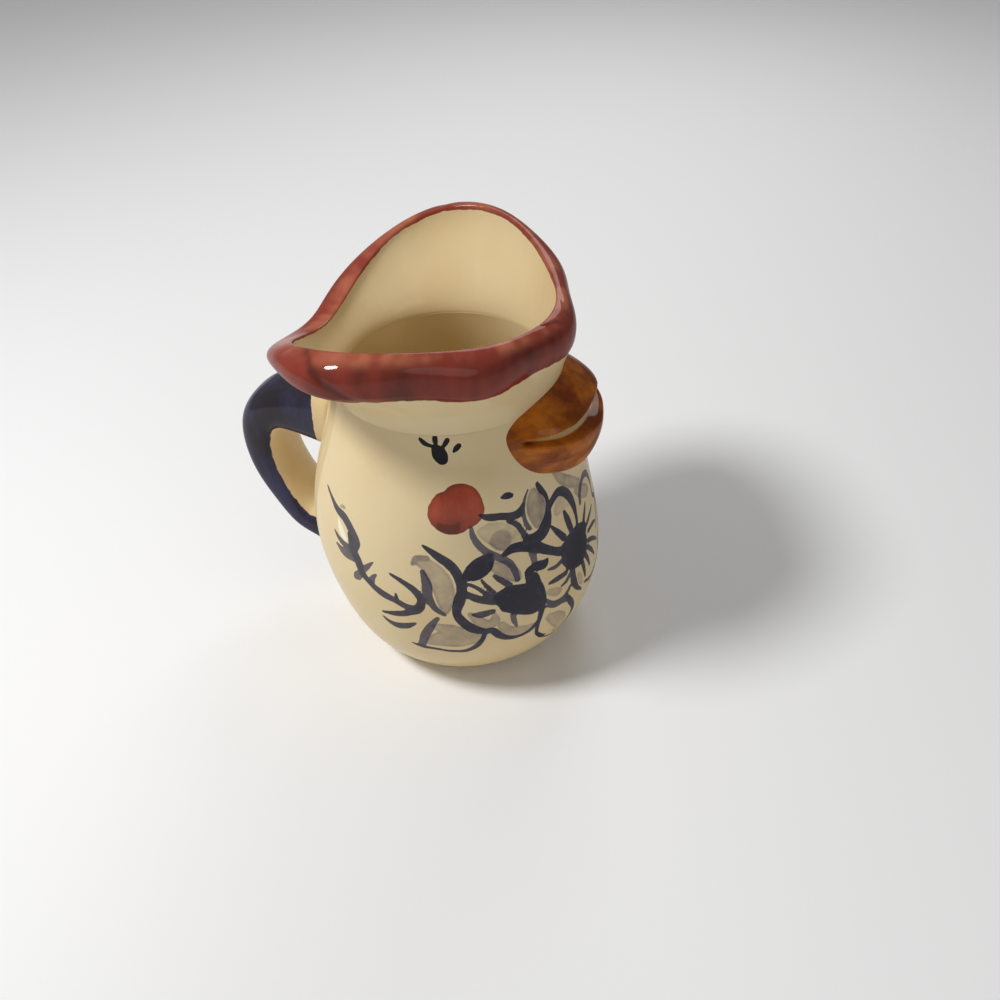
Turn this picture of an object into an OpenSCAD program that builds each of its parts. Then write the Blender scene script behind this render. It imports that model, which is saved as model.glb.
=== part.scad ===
// Chicken pitcher in glazed earthenware, all lengths in millimetres.
// +Z is up and +X is the beak's side. The origin is the centre of the foot, on the table.

/* [Body] */
// Radius of the foot ring's outer edge
foot_r = 34; // [31:0.5:37]
// Width of the flat ring that the pitcher stands on
foot_ring_w = 7; // [5:0.5:9]
// Depth of the glazed recess under the foot
foot_recess = 2.5; // [1.5:0.1:3.5]
// Radius of the belly where it is widest
belly_r = 64.5; // [60:0.5:69]
// Height of the widest part of the belly
belly_z = 58; // [54:1:64]
// Outer radius of the neck where the comb collar sits
neck_r = 48.5; // [46:0.5:51]
// Height of the seat of the comb collar
neck_z = 140; // [136:1:146]
// Thickness of the wall
wall_t = 5; // [4:0.25:6]
// Thickness of the floor, over the recess
floor_t = 6; // [5:0.25:8]
// How far the breast leans towards the beak
breast_lean = 2.8; // [0:0.2:4]

/* [Face] */
// How far each cheek swells out of the wall
cheek_swell = 1.6; // [0:0.1:2.5]
// Radius of the swelling of a cheek
cheek_r = 19; // [15:0.5:22]
// How far the middle of a cheek lies under the collar's seat
cheek_drop = 31; // [27:0.5:35]
// Turn of a cheek away from the beak, in degrees
cheek_turn = 66; // [62:1:72]
// How deep each eye lies in the wall
socket_d = 1.1; // [0:0.1:1.6]
// Radius of the hollow round an eye
socket_r = 14; // [11:0.5:16]
// How far the middle of an eye's hollow lies under the collar's seat
socket_drop = 10; // [8:0.5:13]

/* [Comb collar] */
// Mean radius of the mouth's inner edge
mouth_r = 54.2; // [52:0.2:57]
// How much further back the mouth reaches than forwards
mouth_back = 7.4; // [5:0.2:9]
// How much wider the mouth is across than along
mouth_side = 5; // [3:0.2:7]
// How far the mouth's rear corners swell out
mouth_corner = 4; // [2:0.2:6]
// Mean height of the mouth's edge above the collar's seat
rim_rise = 33.5; // [30:0.5:37]
// How much higher the edge is at the front than at the back, halved
rim_tilt = 7.2; // [4:0.2:9]
// How much the edge rises at the two sides
rim_saddle = 9.6; // [6:0.2:12]
// How much the edge rises at the front corners
rim_corner = 3; // [0:0.1:4]
// Mean width of the comb's lip, from the mouth's edge outwards
lip_w = 9; // [8:0.25:11]
// How much wider the lip is behind than in front, halved
lip_back = 1.8; // [0:0.2:3]
// Mean height of the comb's band, which is glazed red
band_h = 12.5; // [11.5:0.25:15]
// How much taller the band is in front than behind, halved
band_tilt = 4.3; // [2:0.1:4.5]
// How much taller the band is at the two sides
band_saddle = 2.8; // [1:0.1:3]
// How far the lobes of the comb stand out
lobe_d = 1.5; // [0.5:0.1:2.5]
// Number of lobes round the comb
lobes = 7; // [5:1:9]

/* [Handle] */
// Width of the strap
strap_w = 30; // [27:0.5:32]
// Thickness of the strap round its bend
strap_t = 21; // [18:0.5:23]
// Thickness of the strap above its lower end
strap_low_t = 12.5; // [11:0.5:14]
// Height of the root of the strap under the collar
root_h = 38; // [34:0.5:40]
// How far the middle of the upper root lies under the collar's seat
root_drop = 33; // [31:0.5:35]
// Height of the foot of the strap, where it runs into the belly
tail_h = 19; // [17:0.5:22]
// Height of the middle of the lower end of the strap
tail_z = 40; // [38:0.5:43]
// How far the middle of the strap stands from the pitcher's axis
reach = 94.5; // [92:0.5:97]

/* [Beak] */
// Half the width of the beak's root
beak_w = 34; // [31:0.5:36]
// Height of the beak's root above the slit
beak_up = 14; // [12:0.5:16]
// Depth of the beak's root below the slit
beak_down = 24; // [22:0.5:26]
// How far the slit between the bills lies under the collar's seat
beak_drop = 9; // [8:0.5:11]
// How far the tips of the bills stand out from the neck
beak_out = 15.5; // [14:0.5:18]
// How much further the lower bill reaches than the upper one
lower_lead = 5; // [0:0.5:6]
// Width of the slit at the tips
slit_h = 8; // [6:0.25:9]
// Clay left between the neck and the slit
slit_back = 2.5; // [2:0.5:6]

/* [Hidden] */
// Heights that follow the collar's seat
cheek_z = neck_z - cheek_drop;
socket_z = neck_z - socket_drop;
rim_z = neck_z + rim_rise;
root_z = neck_z - root_drop;
beak_z = neck_z - beak_drop;
// How far a cut runs past the face that it opens
overrun = 1;
// Gap that the slip fills where the handle and the beak are luted on
lute_gap = 0.2;
// How far the foot's edge is rounded off
foot_round = 1.2;
// Steps of the strap's middle line over which each end flares out
flare_n = 3;
// Facets round the body, the strap and the beak
round_n = 60;
strap_n = 24;
beak_n = 40;
// Rings up the wall, along the strap and along the beak
wall_n = 22;
strap_rings_n = 22;
beak_rings_n = 12;
// Slope of the neck where it meets the collar
neck_slope_share = 0.2;
// Share of its height that each bill has lost at the tip, and of its width
upper_slope_share = 0.55;
lower_slope_share = 0.02;
side_slope_share = 0.42;
// How blunt the bills' tips are
blunt = 3.5;
// How sharply the collar's underside turns out
under_curve = 1.6;
// How round the sections of the strap and the beak are, where 1 is an ellipse
strap_oval = 0.8;
beak_oval = 0.85;
// Middle line of the strap, from the upper root to the lower, by shares of its reach and drop
strap_shares = [[0.58, 0], [0.76, -0.01], [0.89, 0.02], [0.975, 0.13], [1, 0.315],
    [0.98, 0.525], [0.915, 0.735], [0.825, 0.92], [0.7, 1]];

// Point between a and b
function mix(a, b, t) = a + (b - a) * t;
// Curve that starts and ends level
function ease(t) = t * t * (3 - 2 * t);
// Soft mound, 1 at its middle
function mound(d) = exp(-d * d);
// Point of an oval that is fuller than an ellipse
function full_oval(a, k) = [sign(cos(a)) * pow(abs(cos(a)), k), sign(sin(a)) * pow(abs(sin(a)), k)];

// A wall of revolution: quarter ellipse from the foot to the belly, then an ogee to the neck
function wall_r(z, low_z, low_r, wide_r, top_r) =
    z < belly_z
    ? low_r + (wide_r - low_r) * sqrt(max(0, 1 - pow((belly_z - z) / (belly_z - low_z), 2)))
    : let (t = (z - belly_z) / (neck_z - belly_z))
      wide_r - (wide_r - top_r) * ease(t)
      + neck_slope_share * (neck_z - belly_z) * t * t * (1 - t);

// Shift of a ring's centre towards the beak
function lean(z) = breast_lean * sin(180 * z / belly_z) * cos(90 * min(1, z / neck_z));

// Cheeks and eye hollows, alike on both sides
function relief(a, z) =
    let (side = abs(((a + 540) % 360) - 180), arc = 2 * PI * neck_r / 360)
    cheek_swell * mound(norm([(side - cheek_turn) * arc, z - cheek_z]) / cheek_r)
    - socket_d * mound(norm([(side - cheek_turn) * arc, z - socket_z]) / socket_r)
      * min(1, max(0, (neck_z - z) / socket_r));

function skin_r(a, z) = wall_r(z, 0, foot_r, belly_r, neck_r) + relief(a, z);
function polar(r, a, z) = [lean(z) + r * cos(a), r * sin(a), z];

// Mouth's inner edge and the comb's lobes, by the angle from the beak
function rim_r(a) = mouth_r - mouth_back * cos(a) - mouth_side * cos(2 * a)
    + mouth_corner * cos(3 * a);
function rim_h(a) = rim_z + rim_tilt * cos(a) - rim_saddle * cos(2 * a)
    + rim_corner * cos(3 * a);
function lobe(a) = lobe_d * cos(lobes * a);
function lip(a) = lip_w - lip_back * cos(a);
function lip_r(a) = rim_r(a) + lip(a) + lobe(a);
function band_z(a) = rim_h(a) - band_h - band_tilt * cos(a) + band_saddle * cos(2 * a)
    - lobe(a) / 2;

// Outside of the collar under the band, which the top of the beak meets
function flare_r(a, t) = mix(neck_r, lip_r(a), pow(t, under_curve));
function under_r(a, z) = flare_r(a, min(1, max(0, (z - neck_z) / (band_z(a) - neck_z))));
function outside_r(a, z) = z < neck_z ? skin_r(a, z) : under_r(a, z);

// Point on the outside of the pitcher, in front or behind, at a place across and up
function on_skin(y, z, side, gap) =
    let (a = asin(min(1, max(-1, y / neck_r))),
         r = outside_r(side > 0 ? a : 180 - a, z) + gap)
    [lean(z) + side * sqrt(r * r - y * y), y, z];

// Triangles between rings of n points, with a fan at each end or joined into a loop
function skin_faces(n, m, loop) = [
    for (i = [0 : m - (loop ? 1 : 2)], j = [0 : n - 1])
        let (a = i * n + j, b = i * n + (j + 1) % n,
             c = ((i + 1) % m) * n + j, d = ((i + 1) % m) * n + (j + 1) % n)
        each [[a, c, d], [a, d, b]]
];
function fan(n, first, centre, start) = [
    for (j = [0 : n - 1])
        let (a = first + j, b = first + (j + 1) % n)
        start ? [centre, a, b] : [centre, b, a]
];

module loft(rings, start, end) {
    n = len(rings[0]);
    m = len(rings);
    points = concat([for (ring = rings) each ring], [start, end]);
    polyhedron(points, concat(
        skin_faces(n, m, false),
        fan(n, 0, n * m, true),
        fan(n, n * (m - 1), n * m + 1, false)));
}

module hoop(rings) {
    polyhedron([for (ring = rings) each ring], skin_faces(len(rings[0]), len(rings), true));
}

module body() {
    recess_r = foot_r - foot_ring_w;
    inner_z = foot_recess + floor_t;
    inner_r = recess_r - wall_t;
    turn = [for (j = [0 : round_n - 1]) 360 * j / round_n];
    foot = [for (a = turn) [(foot_r - foot_round) * cos(a), (foot_r - foot_round) * sin(a), 0]];
    outer = [for (i = [0 : wall_n])
        let (z = mix(foot_round, neck_z, 1 - cos(90 * i / wall_n)))
        [for (a = turn) polar(skin_r(a, z), a, z)]];
    inner = [for (i = [wall_n : -1 : 0])
        let (z = mix(inner_z, neck_z, 1 - cos(90 * i / wall_n)))
        [for (a = turn)
            polar(wall_r(z, inner_z, inner_r, belly_r - wall_t, neck_r - wall_t)
                  + relief(a, z), a, z)]];
    color("cornsilk") difference() {
        loft(concat([foot], outer, inner), [0, 0, 0], [lean(inner_z), 0, inner_z]);
        translate([0, 0, -overrun])
            cylinder(h = foot_recess + overrun, r = recess_r, $fn = round_n);
    }
}

module comb_collar() {
    turn = [for (j = [0 : round_n - 1]) 360 * j / round_n];
    // Underside, from the seat out to the band's lower edge
    under = [for (t = [0 : 0.25 : 1])
        [for (a = turn)
            polar(flare_r(a, t), a, mix(neck_z, band_z(a), t))]];
    // The band's round face, from its lower edge over to the mouth's edge
    face = [for (t = [0.125 : 0.125 : 1])
        [for (a = turn)
            polar(mix(lip_r(a), rim_r(a), 1 - cos(90 * t))
                  + lip(a) / 4 * sin(180 * t), a,
                  mix(band_z(a), rim_h(a), sin(90 * t)))]];
    // Inside, from the mouth's edge down to the seat
    inside = [for (t = [0.125 : 0.125 : 1])
        [for (a = turn)
            polar(mix(rim_r(a), neck_r - wall_t, ease(t)), a, mix(rim_h(a), neck_z, t))]];
    color("firebrick") hoop(concat(under, face, inside));
}

// Middle line of the strap, as a smooth curve through its points
function strap_at(k) = [-strap_shares[k][0] * reach, mix(root_z, tail_z, strap_shares[k][1])];
function knot(k) = strap_at(max(0, min(len(strap_shares) - 1, k)));
function spline(s) =
    let (k = min(len(strap_shares) - 2, floor(s)), t = s - k,
         a = knot(k - 1), b = knot(k), c = knot(k + 1), d = knot(k + 2))
    b + (c - a) * t / 2 + (2 * a - 5 * b + 4 * c - d) * t * t / 2
    + (3 * b - a - 3 * c + d) * t * t * t / 2;

module handle() {
    last = len(strap_shares) - 1;
    // Oval section across the strap, u across and v through its thickness
    oval = [for (j = [0 : strap_n - 1]) full_oval(360 * j / strap_n, strap_oval)];
    function cap(z, h, gap, k) = [for (o = oval)
        on_skin(o[0] * strap_w / 2 * k, z + o[1] * h / 2 * k, -1, gap)];
    upper = [for (k = [1 / 3, 2 / 3, 1]) cap(root_z, root_h, lute_gap, k)];
    // The strap has turned over by the time that it comes back to the belly
    lower = [for (k = [1, 2 / 3, 1 / 3]) cap(tail_z, -tail_h, lute_gap, k)];
    strap = [for (i = [1 : strap_rings_n - 1])
        let (s = last * i / strap_rings_n, p = spline(s),
             q = spline(min(last, s + flare_n / 100)) - spline(max(0, s - flare_n / 100)),
             out = [q[1], -q[0]] / norm(q),
             near_top = max(0, 1 - s / flare_n), near_end = max(0, 1 - (last - s) / flare_n),
             taper = ease(max(0, s - flare_n) / (last - flare_n)),
             t = mix(strap_t, strap_low_t, taper) + (root_h - strap_t) * pow(near_top, 2)
                 + (tail_h - strap_low_t) * pow(near_end, 3))
        [for (o = oval)
            let (y = o[0] * strap_w / 2, z = p[1] + out[1] * o[1] * t / 2,
                 wall = on_skin(y, z, -1, lute_gap))
            [min(p[0] + out[0] * o[1] * t / 2, wall[0]), y, z]]];
    color("midnightblue")
        loft(concat(upper, strap, lower), on_skin(0, root_z, -1, lute_gap),
             on_skin(0, tail_z, -1, lute_gap));
}

module beak() {
    tip = on_skin(0, beak_z, 1, beak_out);
    // Closed outline of a section, with the slit's plane through its middle
    function edge(k, a) =
        let (o = full_oval(a, beak_oval))
        [beak_w * k * o[0], beak_z + (o[1] > 0 ? beak_up : beak_down) * k * o[1]];
    turn = [for (j = [0 : beak_n - 1]) 360 * j / beak_n];
    back = [for (k = [1 / 4, 2 / 4, 3 / 4, 1])
        [for (a = turn) let (e = edge(k, a)) on_skin(e[0], e[1], 1, lute_gap)]];
    // The sections shrink towards the tips, the upper bill's first
    front = [for (i = [1 : beak_rings_n - 1])
        let (s = i / beak_rings_n, nose = sqrt(1 - pow(s, blunt)))
        [for (a = turn)
            let (drop = sin(a) > 0 ? upper_slope_share : lower_slope_share,
                 e = edge(1, a),
                 y = e[0] * nose * (1 - side_slope_share * s),
                 z = beak_z + (e[1] - beak_z) * nose * (1 - drop * s),
                 root = on_skin(y, z, 1, lute_gap))
            [mix(root[0], tip[0] - lower_lead / 2 * sin(a), s), y, z]]];
    color("darkorange") difference() {
        loft(concat(back, front), on_skin(0, beak_z, 1, lute_gap), tip);
        // Slit between the bills, which closes towards the neck and the corners
        translate([lean(beak_z), 0, beak_z])
            rotate_extrude($fn = round_n)
                polygon([[neck_r + slit_back, 0],
                    [neck_r + beak_out + lower_lead, -slit_h / 2],
                    [neck_r + beak_out + lower_lead, slit_h / 2]]);
    }
}

body();
comb_collar();
handle();
beak();
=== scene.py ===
import math

import bmesh
import bpy
import numpy as np
from bpy.props import FloatProperty, FloatVectorProperty, IntProperty, PointerProperty
from mathutils import Matrix, Quaternion, Vector, noise


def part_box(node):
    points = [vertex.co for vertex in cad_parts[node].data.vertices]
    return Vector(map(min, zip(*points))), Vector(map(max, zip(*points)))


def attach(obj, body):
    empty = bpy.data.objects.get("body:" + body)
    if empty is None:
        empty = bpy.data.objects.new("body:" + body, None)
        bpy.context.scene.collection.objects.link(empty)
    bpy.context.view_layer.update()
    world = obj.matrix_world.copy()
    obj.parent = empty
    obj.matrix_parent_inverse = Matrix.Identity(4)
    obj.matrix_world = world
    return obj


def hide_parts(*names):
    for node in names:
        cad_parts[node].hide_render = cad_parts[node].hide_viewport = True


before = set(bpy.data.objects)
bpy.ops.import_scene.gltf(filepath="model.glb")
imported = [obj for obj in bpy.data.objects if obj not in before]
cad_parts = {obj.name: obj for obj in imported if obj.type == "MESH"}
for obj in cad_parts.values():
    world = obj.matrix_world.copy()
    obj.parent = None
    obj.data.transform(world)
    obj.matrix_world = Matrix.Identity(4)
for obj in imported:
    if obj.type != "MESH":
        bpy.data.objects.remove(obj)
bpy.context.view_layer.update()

bl_info = {
    "name": "Chicken Pitcher",
    "version": (1, 0, 0),
    "blender": (4, 5, 0),
    "location": "3D View > Sidebar > Pitcher",
    "description": "Makes a hand-painted earthenware pitcher shaped as a chicken",
    "category": "Add Mesh",
}

NECK_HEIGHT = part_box("body")[1].z
MM = 0.001
NECK_SLOPE = 0.2  # how steeply the wall narrows where it meets the collar
UNDER_CURVE = 1.6  # power of the collar's flare under its band
CORNER_ANGLE = math.radians(60)


def length(label, about, default):
    """A length property, given in millimetres."""
    return FloatProperty(name=label, description=about, default=default * MM,
                         subtype="DISTANCE", unit="LENGTH")


def colour(label, about, red, green, blue):
    """A colour property, given as the 0 to 255 values that it shows on a screen."""
    def linear(value):
        value /= 255
        return value / 12.92 if value <= 0.04045 else ((value + 0.055) / 1.055) ** 2.4
    return FloatVectorProperty(name=label, description=about, subtype="COLOR", size=3,
                               min=0, max=1, default=[linear(v) for v in (red, green, blue)])


class PitcherBodySizes(bpy.types.PropertyGroup):
    foot_radius: length("Foot radius", "Outer radius of the foot ring", 34)
    foot_ring: length("Foot ring", "Width of the flat foot ring", 7)
    recess: length("Recess", "Depth of the recess under the foot", 2.5)
    belly_radius: length("Belly radius", "Radius of the belly at its widest", 64.5)
    belly_height: length("Belly height", "Height of the widest part of the belly", 58)
    neck_radius: length("Neck radius", "Outer radius of the neck under the collar", 48.5)
    wall: length("Wall", "Thickness of the wall", 5)
    floor: length("Floor", "Thickness of the floor", 6)
    lean: length("Lean", "How far the breast leans towards the beak", 2.8)
    cheek_swell: length("Cheek swell", "How far each cheek swells out", 1.6)
    cheek_radius: length("Cheek radius", "Radius of the swelling of a cheek", 19)
    cheek_height: length("Cheek height", "Height of the middle of a cheek", 109)
    socket_depth: length("Socket depth", "Depth of the hollow round each eye", 1.1)
    socket_radius: length("Socket radius", "Radius of the hollow round each eye", 14)
    socket_height: length("Socket height", "Height of the middle of an eye's hollow", 130)
    cheek_turn: FloatProperty(name="Cheek turn", description="Turn of a cheek from the beak",
                              default=math.radians(66), subtype="ANGLE")
    segments: IntProperty(name="Segments", description="Faces round the body", default=420)


class PitcherCombSizes(bpy.types.PropertyGroup):
    mouth_radius: length("Mouth radius", "Mean radius of the mouth's edge", 54.2)
    mouth_back: length("Mouth back", "How much further back the mouth reaches", 7.4)
    mouth_side: length("Mouth side", "How much wider the mouth is across", 5)
    mouth_corner: length("Mouth corner", "How far the rear corners swell out", 4)
    rim_height: length("Rim height", "Mean height of the mouth's edge", 173.5)
    rim_tilt: length("Rim tilt", "Rise of the edge at the front, and fall at the back", 7.2)
    rim_saddle: length("Rim saddle", "Rise of the edge at the two sides", 9.6)
    rim_corner: length("Rim corner", "Rise of the edge at the front corners", 3)
    lip: length("Lip", "Mean width of the comb's lip", 9)
    lip_back: length("Lip back", "How much wider the lip is behind than in front, halved", 1.8)
    band: length("Band", "Mean height of the red band", 12.5)
    band_tilt: length("Band tilt", "How much taller the band is in front, halved", 4.3)
    band_saddle: length("Band saddle", "How much taller the band is at the two sides", 2.8)
    lobe: length("Lobe", "How far the lobes stand out", 1.5)
    lobes: IntProperty(name="Lobes", description="Number of lobes round the comb", default=7)
    fold: length("Fold", "Depth of the folds in the comb's face", 1.1)
    fold_width: length("Fold width", "Half the width of a fold", 1.7)
    segments: IntProperty(name="Segments", description="Faces round the collar", default=360)


class PitcherHandleSizes(bpy.types.PropertyGroup):
    width: length("Width", "Width of the strap", 30)
    thickness: length("Thickness", "Thickness of the strap round its bend", 21)
    low_thickness: length("Low thickness", "Thickness of the strap above its lower end", 12.5)
    root: length("Root", "Height of the upper root", 38)
    root_height: length("Root height", "Height of the middle of the upper root", 107)
    tail: length("Tail", "Height of the lower root", 19)
    tail_height: length("Tail height", "Height of the middle of the lower root", 40)
    reach: length("Reach", "How far the strap stands from the axis", 94.4)


class PitcherBeakSizes(bpy.types.PropertyGroup):
    half_width: length("Half width", "Half the width of the beak's root", 34)
    upper: length("Upper bill", "Height of the root above the slit", 14)
    lower: length("Lower bill", "Depth of the root below the slit", 24)
    height: length("Height", "Height of the slit", 131)
    out: length("Reach", "How far the tips stand out from the neck", 15.5)
    lead: length("Lead", "How much further the lower bill reaches", 3.2)
    slit: length("Slit", "Width of the slit at the tips", 8)
    slit_back: length("Slit back", "Clay between the neck and the slit", 2.5)
    voxel: length("Voxel", "Size of the facets of the joined bills", 0.5)


class PitcherColours(bpy.types.PropertyGroup):
    cream: colour("Cream", "Slip under the clear glaze", 229, 209, 166)
    cream_warm: colour("Warm cream", "Where the glaze pools thicker", 214, 184, 132)
    ink: colour("Ink", "Painted blue where the brush was full", 13, 17, 44)
    ink_thin: colour("Thin ink", "Painted blue where the brush ran dry", 54, 62, 100)
    wash: colour("Wash", "Diluted grey of petals and leaves", 138, 124, 112)
    # Pale is the near white laid inside the buds
    pale: colour("Pale", "Thick white slip inside the buds", 246, 238, 212)
    cheek: colour("Cheek", "Red of the cheeks", 172, 66, 44)
    # Dark cheek is the darker red at each cheek's rim and in the patch low on it
    cheek_dark: colour("Dark cheek", "Red where two coats overlap", 88, 18, 16)
    eye: colour("Eye", "Black of the eyes and lashes", 12, 10, 10)
    red: colour("Comb red", "Brushed red of the comb", 136, 44, 36)
    # Dark comb red is where the colour lies thick, and also painted shade in the comb's folds
    red_dark: colour("Dark comb red", "Comb where the colour lies thick", 80, 16, 16)
    # The crest red is painted light along the top of the comb's band
    red_crest_light: colour("Thin comb red", "Comb where the glaze ran thin over its crest", 192, 108, 80)
    blue: colour("Handle blue", "Brushed blue of the handle", 40, 44, 84)
    blue_dark: colour("Dark handle blue", "Handle where the colour lies thick", 17, 19, 38)
    amber: colour("Amber", "Brushed amber of the beak", 206, 118, 22)
    amber_dark: colour("Dark amber", "Beak where the colour lies thick", 122, 54, 6)


GROUPS = {"pitcher_body": PitcherBodySizes, "pitcher_comb": PitcherCombSizes,
          "pitcher_handle": PitcherHandleSizes, "pitcher_beak": PitcherBeakSizes,
          "pitcher_colours": PitcherColours}


# Shapes that the pieces share

def mix(a, b, t):
    return a + (b - a) * t


def ease(t):
    return t * t * (3 - 2 * t)


def spline(a, b, c, d, t):
    """A place between b and c on the smooth curve through four points."""
    return (b + (c - a) * t / 2 + (2 * a - 5 * b + 4 * c - d) * t * t / 2
            + (3 * b - a - 3 * c + d) * t ** 3 / 2)


def wall_radius(z, low_z, low_r, wide_r, top_r):
    """Quarter ellipse from the foot to the belly, then an ogee up to the neck."""
    belly = bpy.context.scene.pitcher_body.belly_height
    z = np.asarray(z, float)
    below = low_r + (wide_r - low_r) * np.sqrt(
        np.maximum(0, 1 - ((belly - z) / (belly - low_z)) ** 2))
    rise = NECK_HEIGHT - belly
    t = (z - belly) / rise
    above = wide_r - (wide_r - top_r) * ease(t) + NECK_SLOPE * rise * t * t * (1 - t)
    return np.where(z < belly, below, above)


def outside_radius(z):
    """Radius of the body's outside, before the cheeks and the eyes' hollows."""
    s = bpy.context.scene.pitcher_body
    return wall_radius(z, 0, s.foot_radius, s.belly_radius, s.neck_radius)


def lean(z):
    """Shift of the body's middle: towards the beak below the widest part, and back above."""
    s = bpy.context.scene.pitcher_body
    return (s.lean * np.sin(np.pi * z / s.belly_height)
            * np.cos(np.pi / 2 * np.minimum(1, z / NECK_HEIGHT)))


def relief(angle, z):
    """Cheeks that swell and eyes that lie in hollows, alike on both sides."""
    s = bpy.context.scene.pitcher_body
    side = (np.abs(angle) - s.cheek_turn) * s.neck_radius
    cheek = np.exp(-(side ** 2 + (z - s.cheek_height) ** 2) / s.cheek_radius ** 2)
    hollow = np.exp(-(side ** 2 + (z - s.socket_height) ** 2) / s.socket_radius ** 2)
    return (s.cheek_swell * cheek - s.socket_depth * hollow
            * np.clip((NECK_HEIGHT - z) / s.socket_radius, 0, 1))


def on_body(angle, z):
    """Points on the outside of the body, at an angle from the beak and a height."""
    r = outside_radius(z) + relief(angle, z)
    return np.stack([lean(z) + r * np.cos(angle), r * np.sin(angle), z], -1)


def rim_radius(a):
    """Radius of the mouth's edge at an angle from the beak."""
    s = bpy.context.scene.pitcher_comb
    return (s.mouth_radius - s.mouth_back * np.cos(a) - s.mouth_side * np.cos(2 * a)
            + s.mouth_corner * np.cos(3 * a))


def rim_height(a):
    """Height of the mouth's edge."""
    s = bpy.context.scene.pitcher_comb
    return (s.rim_height + s.rim_tilt * np.cos(a) - s.rim_saddle * np.cos(2 * a)
            + s.rim_corner * np.cos(3 * a))


def lobe(a):
    """How far the comb's lobes stand out."""
    s = bpy.context.scene.pitcher_comb
    return s.lobe * np.cos(s.lobes * a)


def lip_width(a):
    """Width from the mouth's edge to the lower corner of the band."""
    s = bpy.context.scene.pitcher_comb
    return s.lip - s.lip_back * np.cos(a)


def lip_radius(a):
    """Radius of the band's lower corner."""
    return rim_radius(a) + lip_width(a) + lobe(a)


def band_height(a):
    """Height of the band's lower corner."""
    s = bpy.context.scene.pitcher_comb
    return (rim_height(a) - s.band - s.band_tilt * np.cos(a) + s.band_saddle * np.cos(2 * a)
            - lobe(a) / 2)


def full(value, power):
    """Turns the sine or cosine of an ellipse into that of a fuller oval."""
    return np.sign(value) * np.abs(value) ** power


def wall_face(y, z, side, gap=0.0):
    """How far out the pitcher's wall is in front (side 1) or behind (side -1)."""
    s = bpy.context.scene.pitcher_body
    a = np.arcsin(np.clip(y / s.neck_radius, -1, 1))
    a = a if side > 0 else np.pi - a
    t = np.clip((z - NECK_HEIGHT) / (band_height(a) - NECK_HEIGHT), 0, 1)
    low = np.minimum(z, NECK_HEIGHT)
    r = np.where(z < NECK_HEIGHT, outside_radius(low) + relief(a, low),
                 mix(s.neck_radius, lip_radius(a), t ** UNDER_CURVE))
    return lean(z) + side * np.sqrt(np.maximum(0, (r + gap) ** 2 - y * y))


# Meshes

def points_of(mesh):
    co = np.empty(len(mesh.vertices) * 3)
    mesh.vertices.foreach_get("co", co)
    return co.reshape(-1, 3)


def set_points(mesh, co):
    mesh.vertices.foreach_set("co", np.ascontiguousarray(co, float).ravel())
    mesh.update()


def keep_corners(mesh):
    """Shades the corners where the neck and the collar meet as corners, not as curves."""
    mesh.set_sharp_from_angle(angle=CORNER_ANGLE)


def add_values(mesh, name, values):
    layer = mesh.attributes.new(name, "FLOAT", "POINT")
    layer.data.foreach_set("value", np.ascontiguousarray(values, np.float32))


def finish_piece(name, bm, material, node):
    mesh = bpy.data.meshes.new(name)
    bmesh.ops.recalc_face_normals(bm, faces=bm.faces[:])
    bm.to_mesh(mesh)
    bm.free()
    mesh.shade_smooth()
    piece = bpy.data.objects.new(name, mesh)
    bpy.context.scene.collection.objects.link(piece)
    mesh.materials.append(material)
    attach(piece, "root")
    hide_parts(node)
    return piece


def tube(rings, sides):
    """An upright tube of unit radius with a ring at each whole height, closed by fans."""
    bm = bmesh.new()
    made = bmesh.ops.create_circle(bm, cap_ends=False, segments=sides, radius=1)
    edges = list({e for v in made["verts"] for e in v.link_edges})
    ends = [edges]
    for _ in range(rings - 1):
        grown = bmesh.ops.extrude_edge_only(bm, edges=edges)["geom"]
        verts = [g for g in grown if isinstance(g, bmesh.types.BMVert)]
        edges = [g for g in grown if isinstance(g, bmesh.types.BMEdge)]
        bmesh.ops.translate(bm, verts=verts, vec=(0, 0, 1))
    ends.append(edges)
    for loop in ends:
        cap = bmesh.ops.contextual_create(bm, geom=loop)["faces"]
        bmesh.ops.poke(bm, faces=cap)
    return bm


# Painting: each stroke is a load of colour and a given path of
# (angle from the beak in degrees, height in mm, half width in mm). The strokes on one
# side are mirrored to the other, and those of the two lists for the centre aren't.

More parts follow.
